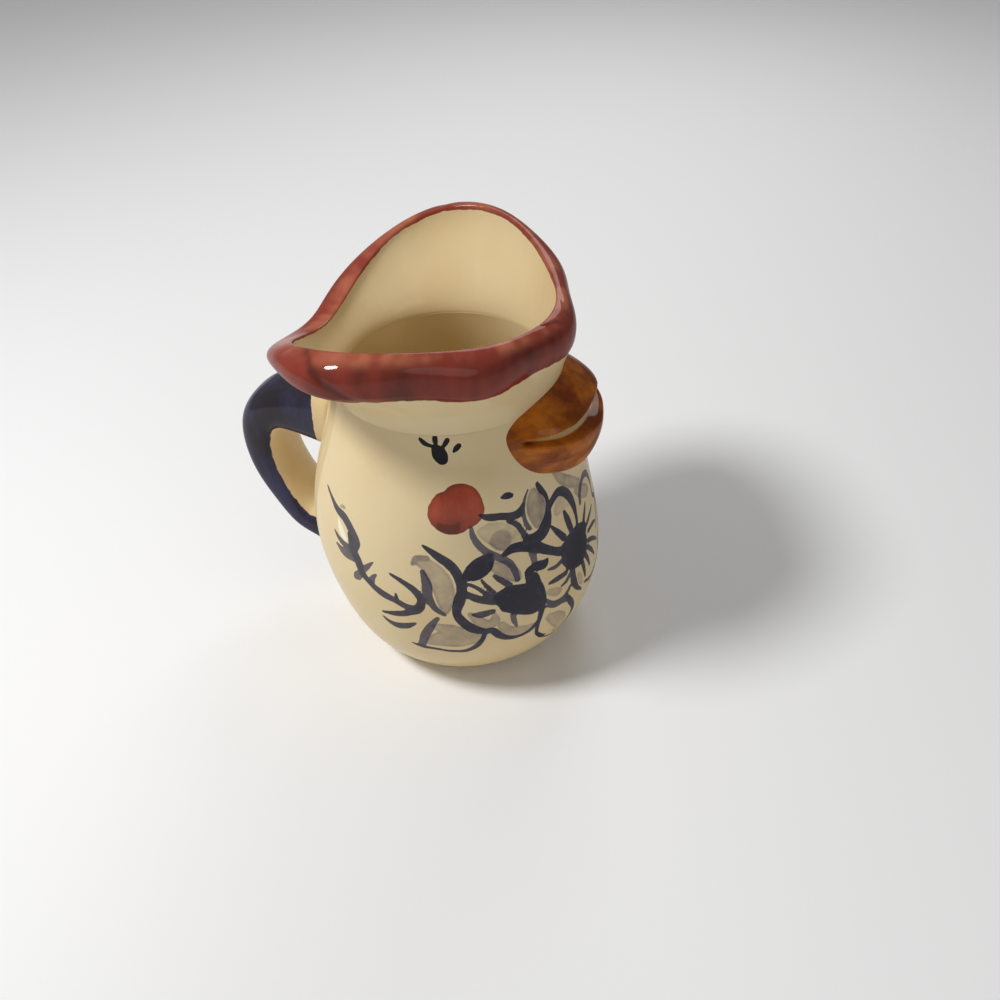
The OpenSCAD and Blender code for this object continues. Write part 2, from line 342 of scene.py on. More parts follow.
CENTRE_FLOWER = [
    (1.0, [(-17, 74, 2), (-14, 69, 8), (-11, 65, 8), (-10, 61, 3)]),
    (1.0, [(-20, 66, 3), (-13, 70, 7), (-6, 71, 4)]),
    (1.0, [(-20, 72, 3), (-17, 64, 5), (-12, 60, 4)]),
    (1.0, [(-24.8, 86.5, 0.9), (-22, 82, 1.6), (-19, 77, 1.8)]),
    (1.0, [(-16.6, 89, 1.0), (-15.3, 84, 1.9), (-14, 78, 1.8)]),
    (0.9, [(-30.5, 60.3, 0.9), (-27, 60, 1.5), (-21.5, 59.5, 1.5)]),
    (0.8, [(-30, 67.5, 0.7), (-26, 66.6, 1.2), (-23, 67.2, 1.3)]),
    (0.8, [(-25, 54.5, 0.7), (-22, 55, 1.2), (-19.5, 57, 1.2)]),
    (0.9, [(-17.5, 59, 2.0), (-17.5, 52, 2.2), (-15.6, 46, 1.5), (-12, 41, 0.7)]),
    (0.9, [(-10.5, 58, 1.5), (-9.5, 52, 1.4), (-8.6, 46, 0.8)]),
    (0.9, [(-7.4, 58.5, 1.5), (-5.6, 54, 1.3), (-4.2, 49, 0.8)]),
    (0.9, [(-4.5, 60, 1.4), (-1, 55, 1.3), (2, 49.5, 0.8)]),
    (0.9, [(-3, 62.5, 1.3), (2, 59, 1.3), (7, 54, 0.7)]),
    (0.9, [(-1.5, 66.5, 1.3), (4, 65.5, 1.3), (9, 63, 0.7)]),
    (0.9, [(-2, 70.5, 1.3), (3, 72, 1.3), (7.5, 73, 0.7)]),
    (0.9, [(-5, 73, 1.4), (-2, 77, 1.4), (0.5, 80.5, 0.7)]),
    (1.0, [(-24.5, 96, 1.4), (-22, 98.5, 2.0), (-18, 99.8, 2.3), (-14, 97, 2.3),
           (-11, 92, 2.2), (-9.3, 86, 1.7), (-9, 80, 1.2), (-9.6, 76, 1.0)]),
    (0.7, [(-4, 84, 1.3), (-2.5, 89, 1.7), (3, 92.3, 1.8), (9, 89.5, 1.7),
           (12.5, 82, 1.5), (12, 75, 1.0)]),
    (0.8, [(12, 75, 1.2), (16, 70, 1.6), (17.5, 62, 1.7), (14.5, 55, 1.4), (9, 52, 1.0)]),
    (0.8, [(9, 52, 1.0), (9, 45, 1.5), (4, 40.5, 1.6), (-3, 40, 1.4), (-9, 43, 1.0)]),
    (0.8, [(-33.5, 52.5, 1.1), (-30.5, 48.5, 1.3), (-26, 46.8, 1.4), (-22, 48.3, 1.3),
           (-20, 50.5, 1.0)]),
]

SIDE_FLOWER = [
    (1.0, [(-51, 64, 3.4), (-48, 62, 6.2), (-44, 60, 7.4), (-40, 58, 6.8), (-37.5, 55.5, 4.6)]),
    (1.0, [(-50, 58, 3), (-45, 55.5, 4.2), (-40, 52.5, 4.2), (-37, 51, 2.6)]),
    (1.0, [(-38.8, 69, 1.5), (-36.8, 67.5, 2.6), (-35.8, 62, 2.4)]),
    (0.9, [(-52.5, 75.5, 0.9), (-50, 72.2, 1.5), (-47, 68.5, 1.5)]),
    (0.9, [(-57.5, 74.5, 0.7), (-55.8, 71, 1.1), (-53.6, 67, 1.2)]),
    (0.9, [(-64.5, 69, 1.6), (-60, 65.3, 2.0), (-54, 62.3, 2.0)]),
    (0.8, [(-63, 57, 0.9), (-60, 56.3, 2.0), (-55.5, 57, 1.6)]),
    (0.6, [(-48, 52, 1.5), (-47.9, 48, 1.4), (-47.2, 44.3, 0.8)]),
    (1.0, [(-39.4, 72, 1.2), (-38, 67, 2.6), (-35.5, 61, 2.6), (-34.8, 54, 2.3),
           (-36, 47, 1.7), (-37.8, 40, 1.3), (-38.3, 34, 1.1), (-36, 29.5, 1.3),
           (-33, 27.3, 0.8)]),
    (0.95, [(-79.3, 93.3, 0.6), (-76.5, 91, 1.4), (-72.5, 87.5, 2.1), (-68.5, 83.5, 2.3),
            (-66, 78, 2.2), (-65.3, 71, 2.3), (-67, 65, 2.7), (-68.8, 59, 2.0),
            (-67.5, 53.5, 2.4), (-64, 48.3, 2.6), (-60, 45.8, 2.0), (-57, 45.5, 2.0),
            (-54.5, 41, 1.9), (-50.5, 37.6, 1.5), (-46, 36.7, 1.2), (-41.5, 38.2, 1.2),
            (-38, 41.5, 1.4)]),
    (1.0, [(-63, 77, 1.8), (-60.5, 80.5, 3.0), (-57, 83.3, 3.2), (-53.5, 85.2, 1.8)]),
    (1.0, [(-61.8, 77, 2.0), (-59.3, 79, 4.2), (-56.3, 80.8, 4.0), (-53.8, 82.5, 2.2)]),
    (0.9, [(-63.5, 74, 0.9), (-60, 71.5, 1.0), (-54.5, 64.5, 1.2)]),
    (0.65, [(-60.2, 101, 0.8), (-59.4, 96.5, 1.4), (-56.8, 91, 1.7), (-52.5, 86, 1.8),
            (-48.5, 82.6, 1.8), (-45.5, 79, 1.7), (-44.2, 75, 1.6), (-43.6, 70, 1.3)]),
    (1.0, [(-47.6, 84.6, 1.2), (-44, 85.9, 2.4), (-40, 85.2, 2.6), (-36, 83.5, 3.0),
           (-32, 80.3, 2.6), (-27.5, 76.3, 2.2), (-23.5, 73, 2.2), (-20, 71, 2.5)]),
    (0.55, [(-36, 80, 1.7), (-35.4, 76, 1.7), (-35.8, 72, 1.3)]),
    (1.0, [(-38.8, 73, 1.0), (-35, 72.6, 2.4), (-31.5, 71.5, 2.4), (-29.6, 73, 0.8)]),
    (1.0, [(-25, 99.5, 1.1), (-25.6, 94, 2.0), (-27.5, 89.5, 3.3), (-30.5, 86.5, 3.4),
           (-34.5, 86.3, 2.8), (-37.3, 88, 1.8)]),
    (0.9, [(-45, 99.5, 0.9), (-41.3, 96.5, 1.4), (-39.2, 92.3, 1.4), (-37.6, 88.3, 1.6)]),
    (0.95, [(-56.8, 106, 0.7), (-53, 104, 1.7), (-48, 102.8, 1.8), (-43, 101.2, 1.9),
            (-39.5, 101.2, 2.2), (-37.6, 104, 0.9)]),
    (0.7, [(-34.2, 109.7, 0.4), (-36.3, 106.5, 0.8), (-37.6, 102, 1.0), (-37.4, 97, 1.1),
           (-36.2, 93, 1.2), (-34.8, 91, 0.7)]),
    (1.0, [(-29.3, 110, 1.0), (-27.8, 106.5, 1.5), (-25.8, 103, 1.2), (-25, 99, 1.1)]),
    (1.0, [(-46.6, 110.9, 0.9), (-44.4, 110.9, 1.7), (-42.2, 110.2, 1.1)]),
    (0.8, [(-33.5, 48.5, 0.7), (-29, 45.5, 1.1), (-25, 44.8, 1.2), (-21.5, 43.5, 1.4)]),
    (0.9, [(-23, 48, 0.9), (-20.5, 42, 1.8), (-18, 36, 1.5), (-17.5, 31, 1.3), (-20, 25, 1.2),
           (-25.5, 22, 1.0), (-31, 24, 0.8), (-36.5, 28.5, 0.7)]),
    (0.7, [(-76.6, 55.3, 1.0), (-79.8, 50.5, 1.9), (-83.6, 43.5, 2.2), (-86.8, 35, 1.8)]),
    (0.9, [(-91.2, 34.6, 0.7), (-87, 33.4, 1.4), (-81, 33.2, 1.1), (-74.5, 32.2, 1.1),
           (-69, 32.6, 1.3), (-64.3, 36, 1.5), (-61.3, 41, 1.3), (-59.6, 46, 1.3)]),
    (0.75, [(-79.3, 80.3, 1.2), (-78.3, 74, 2.3), (-78.4, 67, 2.2), (-76.4, 60.8, 1.5),
            (-73.6, 57.6, 1.0)]),
]

TWIG = [
    (0.9, [(-92.8, 76, 0.8), (-87.5, 73.3, 1.5), (-83.3, 69.8, 1.9), (-81.4, 64.8, 2.0),
            (-83.2, 60, 2.4), (-87.5, 56.6, 1.8), (-93, 54, 1.7), (-99.8, 52, 0.8)]),
    (0.85, [(-86.3, 50.3, 0.8), (-90.5, 47.3, 1.9), (-95, 45.6, 2.1), (-98.5, 46.5, 1.5),
            (-100.8, 48.7, 0.7)]),
    (0.8, [(-131.7, 99.6, 0.7), (-126.5, 97, 1.2), (-121.5, 94.3, 1.9), (-116.3, 93.2, 2.4),
           (-111.8, 89.8, 2.4), (-108.6, 85.5, 2.4), (-108.2, 82.3, 1.4)]),
    (0.85, [(-112.5, 87, 1.4), (-110.3, 81, 2.2), (-107.6, 76, 2.5), (-106.2, 71.3, 2.0),
            (-102.3, 67, 1.9), (-97.5, 63.8, 2.2), (-92.3, 62, 1.9), (-88, 60, 1.8),
            (-84, 60, 1.6)]),
    (0.7, [(-122, 83.6, 0.7), (-118, 81, 1.5), (-112.5, 79.8, 2.0)]),
    (0.6, [(-120.2, 77.7, 0.9), (-115.5, 75.9, 2.2), (-110, 76.5, 2.4)]),
    (0.6, [(-110.3, 65.8, 1.3), (-108.8, 67.5, 2.3), (-106.6, 70.5, 1.6)]),
    (0.65, [(-100, 79.2, 0.4), (-102.8, 75.7, 1.3), (-105, 73, 1.6)]),
    (0.65, [(-99, 73.2, 0.6), (-101, 70.2, 1.5), (-101.8, 67, 1.7)]),
    (0.9, [(-91.4, 66, 0.7), (-91.4, 62, 1.3)]),
]

WASHES = [
    (0.85, [(-48.7, 92, 4.4), (-48.3, 91.2, 4.4)]),
    (0.25, [(-56, 98, 2.4), (-51, 96, 5.4), (-46, 91.5, 6), (-42, 88, 3.6)]),
    (0.7, [(-81.5, 85, 1.8), (-77, 83, 3.8), (-73.5, 77, 5.0), (-72, 70, 4.8), (-72.2, 64, 3.6),
           (-73, 59.5, 1.8)]),
    (1.0, [(-83, 83.5, 1.1), (-81.5, 86.3, 1.6), (-77.5, 87, 1.5)]),
    (0.65, [(-83, 38, 2.2), (-78, 41, 5.2), (-72, 42.5, 6.8), (-66, 42, 4.8), (-62, 41, 2.2)]),
    (0.65, [(-78, 50, 2.4), (-73, 48, 4), (-68, 46.5, 3.2)]),
    (0.75, [(-32, 107, 2.4), (-31.5, 101.5, 5), (-30.5, 96, 4.8), (-31.5, 92, 2.2)]),
    (1.0, [(-29.3, 105, 0.9), (-28.2, 99, 1.5), (-29, 94, 1.6)]),
    (0.75, [(-52.5, 80.5, 2.2), (-49, 78, 4), (-45.5, 74, 3.8), (-43.5, 71, 2.2)]),
    (0.6, [(-64, 57.5, 1.4), (-61.5, 53, 3), (-58.5, 49.5, 3.2), (-55.5, 51.5, 2.8),
           (-55, 55, 1.4)]),
    (0.65, [(-53, 48, 2), (-51, 43, 3.4), (-46, 40, 3.8), (-41, 39.5, 3), (-38.5, 41, 1.6)]),
    (0.5, [(-32.5, 41, 2.2), (-28, 36, 4.4), (-25, 30, 4), (-27, 26, 2.2)]),
    (0.45, [(-31.5, 56, 1.8), (-28, 53.5, 2.6), (-26, 52.5, 1.6)]),
    (0.6, [(-119.5, 96.8, 0.8), (-118, 97.6, 1.2), (-116.6, 97.4, 0.7)]),
]

# Four lashes, and then the eye
EYES = [
    (1.0, [(-80.3, 138.6, 0.8), (-78.6, 137, 1.1), (-76.4, 136, 0.9), (-74, 135.6, 0.7)]),
    (1.0, [(-73.4, 139.3, 1.2), (-73.4, 137.8, 1.1), (-73.1, 135.5, 0.6)]),
    (1.0, [(-67.9, 138.2, 1.1), (-68.8, 136.9, 1.1), (-70.2, 135, 0.6)]),
    (1.0, [(-63, 135.5, 1.2), (-64.2, 134.4, 1.2), (-65.6, 133, 0.6)]),
    (1.0, [(-72.8, 134, 2.4), (-71.8, 132, 3.1), (-70.9, 130, 2.4)]),
]
CHEEKS = [
    (1.0, [(-68.2, 108, 9.2), (-67.4, 107.6, 9.3)]),
    (1.0, [(-69.6, 111.4, 6.4), (-69, 109, 6.8)]),
    (1.0, [(-64, 112.4, 8.3), (-63, 109, 8.6)]),
]
CHEEK_PATCHES = [(1.0, [(-73, 103.4, 1.0), (-71.4, 101.4, 2.2), (-68.6, 100.8, 2.9),
                        (-66, 101.6, 2.1), (-64.8, 103.6, 0.9)])]
CENTRE_WASHES = [
    (0.3, [(-20, 92, 3), (-17, 94, 4), (-13, 92, 3)]),
    (0.7, [(-19, 110, 1.4), (-14.5, 104, 2.8), (-8.5, 98.5, 3.0), (-2, 93.5, 2.2)]),
    (0.7, [(-6, 92, 1.8), (-2, 89, 3.2), (3, 85, 3.4), (6, 83, 2)]),
    (0.5, [(-14, 52, 1.4), (-12.8, 48, 2.2), (-12, 45, 1.2)]),
    (0.5, [(8, 60, 1.6), (12, 63, 2.8), (12.5, 68, 2.0)]),
    (0.7, [(21, 108, 1.4), (17.5, 103, 2.8), (14, 98.5, 2.8), (12, 95, 1.6)]),
]
PALES = [(1.0, [(-119.8, 90, 1.0), (-117.4, 86, 2.2), (-114.8, 83.4, 1.4)])]
CURVE_STEPS = 7  # straight stretches between two points of a path
FAR = 9.0  # depths are kept within this many mm
TINY = 1e-9


def mirrored(strokes):
    return [(load, [(-a, z, w) for a, z, w in path]) for load, path in strokes]


def curve_through(path):
    """A smooth curve through the points of a path, ends included."""
    p = np.array(path, float)
    p = np.vstack([2 * p[0] - p[1], p, 2 * p[-1] - p[-2]])
    shares = np.arange(CURVE_STEPS) / CURVE_STEPS
    curve = [spline(*p[k - 1:k + 3], t) for k in range(1, len(p) - 2) for t in shares]
    return np.array([*curve, p[-2]])


def paint(points, strokes):
    """How far inside the strokes each point is, in mm, and how loaded the brush was there."""
    depth = np.full(len(points), -FAR)
    load = np.zeros(len(points))
    for strength, path in strokes:
        angle, height, width = curve_through(path).T
        line = on_body(np.radians(angle), height * MM) / MM
        reach = FAR + width.max()
        near = np.flatnonzero(((points > line.min(0) - reach)
                               & (points < line.max(0) + reach)).all(1))
        p = points[near]
        inside = np.full(len(p), -FAR)
        for k in range(len(line) - 1):
            a, ab = line[k], line[k + 1] - line[k]
            t = np.clip((p - a) @ ab / max(ab @ ab, TINY), 0, 1)
            off = np.linalg.norm(p - a - t[:, None] * ab, axis=1)
            inside = np.maximum(inside, mix(width[k], width[k + 1], t) - off)
        # Where strokes cross, the fuller one shows
        load[near] = np.maximum(load[near], strength * np.clip(1 + inside, 0, 1))
        depth[near] = np.maximum(depth[near], inside)
    return depth, load


# Materials: what is painted comes from values on the mesh, mostly depths in mm inside a
# painted form, and noise in mm is added to them so that the edges stray like a brush.

RIPPLE = 0.4 * MM
GLOSS, GLOSS_ROUGHNESS = 0.45, 0.03
CLOUD_SHARE, STREAK_SHARE, SPECK_SHARE = 0.55, 0.12, 0.35
STROKE_EDGE, BAND_EDGE = 0.16, 0.4  # how many mm a painted edge takes to cover
BAND_SHARE, CHEEK_SHARE, CREST_SHARE = 0.97, 0.96, 0.7  # how far each hides what is below


class Wire:
    """A shader socket that plain Python maths works on."""

    def __init__(self, tree, socket):
        self.tree, self.socket = tree, socket

    def _maths(self, operation, *values):
        node = self.tree.nodes.new("ShaderNodeMath")
        node.operation = operation
        for slot, value in zip(node.inputs, values):
            if isinstance(value, Wire):
                self.tree.links.new(value.socket, slot)
            else:
                slot.default_value = value
        return Wire(self.tree, node.outputs[0])

    def __add__(self, other):
        return self._maths("ADD", self, other)

    def __sub__(self, other):
        return self._maths("SUBTRACT", self, other)

    def __rsub__(self, other):
        return self._maths("SUBTRACT", other, self)

    def __mul__(self, other):
        return self._maths("MULTIPLY", self, other)

    def __truediv__(self, other):
        return self._maths("DIVIDE", self, other)

    __radd__, __rmul__ = __add__, __mul__

    def clamp(self):
        return self._maths("MINIMUM", self._maths("MAXIMUM", self, 0.0), 1.0)

    def step(self, low, high):
        """0 below low, 1 above high, and smooth between."""
        return ease(((self - low) / (high - low)).clamp())


class Glaze:
    """A material: node() adds any node, and the other methods are short forms of it."""

    def __init__(self, name):
        self.material = bpy.data.materials.new(name)
        self.material.use_nodes = True
        self.tree = self.material.node_tree
        self.shader = self.tree.nodes["Principled BSDF"]
        self.place = self.node("ShaderNodeTexCoord", out="Object")

    def node(self, kind, settings=None, out=0, **values):
        """Adds a node. A socket's key is its name, with _ for a space, or _ and its number."""
        made = self.tree.nodes.new(kind)
        for key, value in (settings or {}).items():
            setattr(made, key, value)
        for key, value in values.items():
            number = key[1:]
            slot = made.inputs[int(number) if number.isdigit() else key.replace("_", " ")]
            if isinstance(value, Wire):
                self.tree.links.new(value.socket, slot)
            else:
                slot.default_value = value
        return Wire(self.tree, made.outputs[out])

    def value(self, name):
        """What the mesh holds at each point under this name."""
        return self.node("ShaderNodeAttribute", {"attribute_name": name}, out="Fac")

    def noise(self, scale, detail=2, roughness=0.55, stretch=(1, 1, 1)):
        """Noise from 0 to 1 through the piece, with its scale per metre."""
        place = self.node("ShaderNodeMapping", Vector=self.place, Scale=stretch)
        return self.node("ShaderNodeTexNoise", Vector=place, Scale=scale, Detail=detail,
                         Roughness=roughness)

    def wander(self, scale, reach, detail=2, roughness=0.55):
        """Noise about zero, half the reach to either side."""
        return (self.noise(scale, detail, roughness) - 0.5) * reach

    def blend(self, mask, under, over):
        """Colour over on colour under, by a mask."""
        def rgba(c):
            return c if isinstance(c, Wire) else (*c, 1)
        return self.node("ShaderNodeMix", {"data_type": "RGBA"}, out=2,
                         _0=mask, _6=rgba(under), _7=rgba(over))

    def finish(self, base, roughness, height):
        """Clear gloss glaze over the colour, with a soft ripple in it."""
        s, link = self.shader.inputs, self.tree.links.new
        link(base.socket, s["Base Color"])
        link(roughness.socket, s["Roughness"])
        bump = self.node("ShaderNodeBump", Strength=1.0, Distance=RIPPLE, Height=height)
        link(bump.socket, s["Normal"])
        # The coat alone gives the gloss
        s["Specular IOR Level"].default_value = 0.0
        s["Coat Weight"].default_value = GLOSS
        s["Coat Roughness"].default_value = GLOSS_ROUGHNESS
        return self.material


def cream_base(g, c):
    """Cream slip under the glaze: warm clouds, faint streaks and a few specks."""
    clouds = g.noise(14).step(0.35, 0.7)
    streaks = g.noise(60, 3, 0.6, stretch=(1, 1, 0.15)).step(0.45, 0.8)
    base = g.blend(clouds * CLOUD_SHARE + streaks * STREAK_SHARE, c.cream, c.cream_warm)
    specks = g.noise(900, 1).step(0.76, 0.80) * g.noise(70, 1).step(0.55, 0.7)
    return g.blend(specks * SPECK_SHARE, base, c.amber_dark)


def ripple(g):
    """Height of the glaze, with broad ripples and fine ones."""
    return g.noise(28) * 0.7 + g.noise(160) * 0.08


def wash_mask(g, fray, brush):
    """A thin wash: soft at its edge, paler inside and uneven where the water lay."""
    wash = g.value("wash") + fray
    tide = wash.step(-0.2, 0.7) - wash.step(0.6, 2.2) * 0.25
    water = g.wander(110, 0.8) + brush * 0.7
    return (tide * (g.value("wash_load") * 0.95 + water + 0.1)).clamp()


def cheek_coat(g, c, base, fray):
    """Dabbed red, darker at the cheek's rim and in a patch low on the cheek."""
    cheek = g.value("cheek") + fray * 0.8
    dabs = g.noise(60, 3, 0.6, stretch=(1.6, 1.6, 0.5)).step(0.4, 0.75)
    rim = 1 - cheek.step(0.4, 2.6)
    red = g.blend((dabs * 0.5 + rim * 0.3).clamp(), c.cheek, c.cheek_dark)
    patch = g.value("patch") + fray * 1.4
    red = g.blend(patch.step(-5, 1.5) * 0.55 + patch.step(-0.2, 0.6) * 0.4, red, c.cheek_dark)
    return g.blend(cheek.step(0, STROKE_EDGE) * CHEEK_SHARE, base, red)


def ink_coat(g, c, base, fray, brush):
    """Blue strokes, full along their middle and thin where the brush ran dry."""
    ink, load = g.value("ink") + fray * 0.55, g.value("ink_load")
    laden = (load * 1.25 - 0.35 + brush * 1.6 + ink.step(1.2, 4.0) * 0.25).clamp()
    cover = ink.step(0, STROKE_EDGE) * (load * 0.35 + 0.62)
    return g.blend(cover.clamp(), base, g.blend(laden, c.ink_thin, c.ink))


def body_glaze():
    """Cream with near-white patches, washes, cheeks, blue strokes and eyes painted on in turn."""
    c = bpy.context.scene.pitcher_colours
    g = Glaze("painted_cream_glaze")
    fray = g.wander(420, 0.9, 3, 0.6) + g.wander(120, 0.7)
    brush = g.noise(300, 4, 0.65) - 0.5
    base = cream_base(g, c)
    base = g.blend((g.value("pale") + fray).step(-0.2, 0.5), base, c.pale)
    base = g.blend(wash_mask(g, fray, brush), base, c.wash)
    base = cheek_coat(g, c, base, fray)
    base = ink_coat(g, c, base, fray, brush)
    base = g.blend((g.value("eye") + fray * 0.3).step(0, STROKE_EDGE), base, c.eye)
    return g.finish(base, 0.2 + g.noise(40) * 0.12, ripple(g))


def comb_glaze():
    """Brushed red band on cream, with painted shade in its folds and painted light along its
    crest.
    """
    c = bpy.context.scene.pitcher_colours
    g = Glaze("comb_glaze")
    fray = g.wander(300, 1.2, 3) + g.wander(70, 1.6)
    strokes, clouds = g.value("strokes"), g.noise(45, 3, 0.6)
    # The fold term is painted shade: the red darkens in the comb's folds
    thick = clouds * 0.6 + g.noise(170, 3, 0.6) * 0.3 + strokes * 0.4 + g.value("fold") * 0.3
    red = g.blend(thick.step(0.45, 1.0), c.red, c.red_dark)
    # The crest term is painted light: the red turns lighter along the top of the band
    thin = g.value("crest").step(0, 0.9) * (clouds + strokes * 0.5).step(0.55, 0.95)
    red = g.blend(thin * CREST_SHARE, red, c.red_crest_light)
    mask = (g.value("band") + fray).step(0, BAND_EDGE)
    base = g.blend(mask * BAND_SHARE, cream_base(g, c), red)
    return g.finish(base, 0.2 + g.noise(60) * 0.12, ripple(g) + strokes * 0.3)


def handle_glaze():
    """Brushed blue on cream, laid on along the strap."""
    c = bpy.context.scene.pitcher_colours
    g = Glaze("handle_glaze")
    thick = g.noise(50, 4, 0.6, stretch=(1, 1, 0.4)).step(0.3, 0.65)
    blue = g.blend(thick, c.blue, c.blue_dark)
    mask = (g.value("band") + g.wander(260, 1.2, 3)).step(0, BAND_EDGE)
    base = g.blend(mask * BAND_SHARE, cream_base(g, c), blue)
    return g.finish(base, 0.22 + g.noise(60) * 0.12, ripple(g))


def beak_glaze():
    """Clouded amber, with the cream slip left bare in the slit."""
    c = bpy.context.scene.pitcher_colours
    g = Glaze("beak_glaze")
    thick = g.noise(70, 4, 0.6, stretch=(1, 1, 1.6)) * 0.8 + g.noise(20) * 0.4
    amber = g.blend(thick.step(0.38, 0.76), c.amber, c.amber_dark)
    base = g.blend(g.value("inside").step(0.3, 0.7), amber, c.cream)
    return g.finish(base, 0.16 + g.noise(60) * 0.1, ripple(g))


# Body

FOOT_EDGE = 1.2 * MM  # bevel of the foot ring
RECESS_RINGS, OUTSIDE_RINGS, INSIDE_RINGS = 4, 178, 26
FINE_STEPS = 1500
WELD = 0.01 * MM


def evenly(outline, count):
    """Points at even distances along an outline."""
    r, z = np.array(outline).T
    run = np.concatenate([[0], np.cumsum(np.hypot(np.diff(r), np.diff(z)))])
    even = np.linspace(0, run[-1], count)
    return list(zip(np.interp(even, run, r), np.interp(even, run, z)))


def body_profile():
    """The wall's outline from under the foot, up the outside and down to the floor."""
    s = bpy.context.scene.pitcher_body
    recess_r = s.foot_radius - s.foot_ring
    inner_z = s.recess + s.floor
    inner_r = recess_r - s.wall
    steps = [(recess_r * k / RECESS_RINGS, s.recess) for k in range(RECESS_RINGS)]
    steps += [(recess_r - FOOT_EDGE, s.recess), (recess_r, s.recess - FOOT_EDGE / 2),
              (recess_r + FOOT_EDGE / 2, 0), ((recess_r + s.foot_radius) / 2, 0),
              (s.foot_radius - 1.5 * FOOT_EDGE, 0)]
    fine = np.linspace(FOOT_EDGE / 2, NECK_HEIGHT, FINE_STEPS)
    steps += evenly([(outside_radius(z), z) for z in fine], OUTSIDE_RINGS)
    # Inside, the rings lie closer together towards the floor
    deep = NECK_HEIGHT - inner_z
    for t in np.linspace(1, 0, INSIDE_RINGS):
        z = inner_z + deep * (1 - math.cos(math.pi / 2 * t))
        steps.append((wall_radius(z, inner_z, inner_r, s.belly_radius - s.wall,
                                  s.neck_radius - s.wall), z))
    return steps + [(inner_r / 2, inner_z), (0, inner_z)]


class PITCHER_OT_body(bpy.types.Operator):
    """Throws the belly and neck and paints the face and flowers on them"""
    bl_idname = "pitcher.body"
    bl_label = "Body"

    def execute(self, context):
        s = context.scene.pitcher_body
        bm = bmesh.new()
        verts = [bm.verts.new((float(r), 0, float(z))) for r, z in body_profile()]
        edges = [bm.edges.new(pair) for pair in zip(verts, verts[1:])]
        bmesh.ops.spin(bm, geom=verts + edges, cent=(0, 0, 0), axis=(0, 0, 1),
                       angle=2 * math.pi, steps=s.segments, use_merge=True)
        bmesh.ops.remove_doubles(bm, verts=bm.verts[:], dist=WELD)
        piece = finish_piece("painted_body", bm, body_glaze(), "body")
        co = points_of(piece.data)
        angle, r, z = np.arctan2(co[:, 1], co[:, 0]), np.hypot(co[:, 0], co[:, 1]), co[:, 2]
        outside = r > outside_radius(z) - s.wall / 2
        r = r + relief(angle, z) * (r > s.wall)
        co = np.stack([lean(z) + r * np.cos(angle), r * np.sin(angle), z], -1)
        set_points(piece.data, co)
        keep_corners(piece.data)
        self.decorate(piece.data, co / MM, outside)
        return {"FINISHED"}

    def decorate(self, mesh, points, outside):
        """Stores how deep in each colour's strokes every point lies, and the brush's load."""
        flowers = SIDE_FLOWER + TWIG
        layers = {"ink": CENTRE_FLOWER + flowers + mirrored(flowers),
                  "wash": CENTRE_WASHES + WASHES + mirrored(WASHES)}
        for name, strokes in layers.items():
            depth, load = paint(points, strokes)
            add_values(mesh, name, np.where(outside, depth, -FAR))
            add_values(mesh, name + "_load", load)
        for name, strokes in {"eye": EYES, "cheek": CHEEKS, "patch": CHEEK_PATCHES,
                              "pale": PALES}.items():
            depth, _ = paint(points, strokes + mirrored(strokes))
            add_values(mesh, name, np.where(outside, depth, -FAR))


# Comb collar: each point of a spun ring is moved to its place on the collar. One turn of
# the ring's section runs from the neck's outside up under the band, over the band's face
# to the mouth's edge, down the inside and back along the seat, by the shares below.

RING_POINTS, RING_RADIUS = 120, 0.2
UNDER_SHARE, FACE_SHARE, INSIDE_SHARE, SEAT_SHARE = 0.2, 0.36, 0.38, 0.06
# Folds on each side as (share of the section's turn, degrees from the beak)
FOLDS = [[(0.06, 80), (0.14, 90), (0.25, 98), (0.3, 101.5), (0.36, 105.5), (0.43, 108.5),
          (0.5, 113), (0.57, 119)],
         [(0.38, 2), (0.46, 5), (0.5, 11.5), (0.53, 16), (0.57, 20)]]
FOLD_END_SHARE = 0.06
SOFT_ROUNDS = 8
SOFT_START = 2 * MM  # height above the seat where the softening starts
# Rough lengths of the stretches, and how far the red goes past the band's face, in mm
UNDER_RUN, FACE_RUN, INSIDE_RUN = 16, 24, 40
RED_BELOW, RED_OVER = 1.5, 2.0
CREST_MIDDLE_SHARE, CREST_REACH_SHARE = 0.85, 0.35  # of the face, where painted light lies along the crest


def stretch_share(turn, start, size):
    """How far along a stretch of the section each point is, from 0 to 1."""
    return np.clip((turn - start) / size, 0, 1)


def collar_section(a, turn):
    """Radius and height of the collar's surface, by angle and by the section's turn."""
    body = bpy.context.scene.pitcher_body
    neck_r, bore_r = body.neck_radius, body.neck_radius - body.wall
    low, high, band, rim = lip_radius(a), rim_radius(a), band_height(a), rim_height(a)
    face_end = UNDER_SHARE + FACE_SHARE
    under = stretch_share(turn, 0, UNDER_SHARE)
    quarter = np.pi / 2 * stretch_share(turn, UNDER_SHARE, FACE_SHARE)
    inside = stretch_share(turn, face_end, INSIDE_SHARE)
    seat = stretch_share(turn, 1 - SEAT_SHARE, SEAT_SHARE)
    level = np.full(len(a), NECK_HEIGHT)
    round_r = mix(low, high, 1 - np.cos(quarter)) + lip_width(a) / 4 * np.sin(2 * quarter)
    where = [turn > 1 - SEAT_SHARE, turn > face_end, turn > UNDER_SHARE]
    r = np.select(where, [mix(bore_r, neck_r, seat), mix(high, bore_r, ease(inside)), round_r],
                  mix(neck_r, low, under ** UNDER_CURVE))
    z = np.select(where, [level, mix(rim, level, inside), mix(band, rim, np.sin(quarter))],
                  mix(level, band, under))
    return r, z


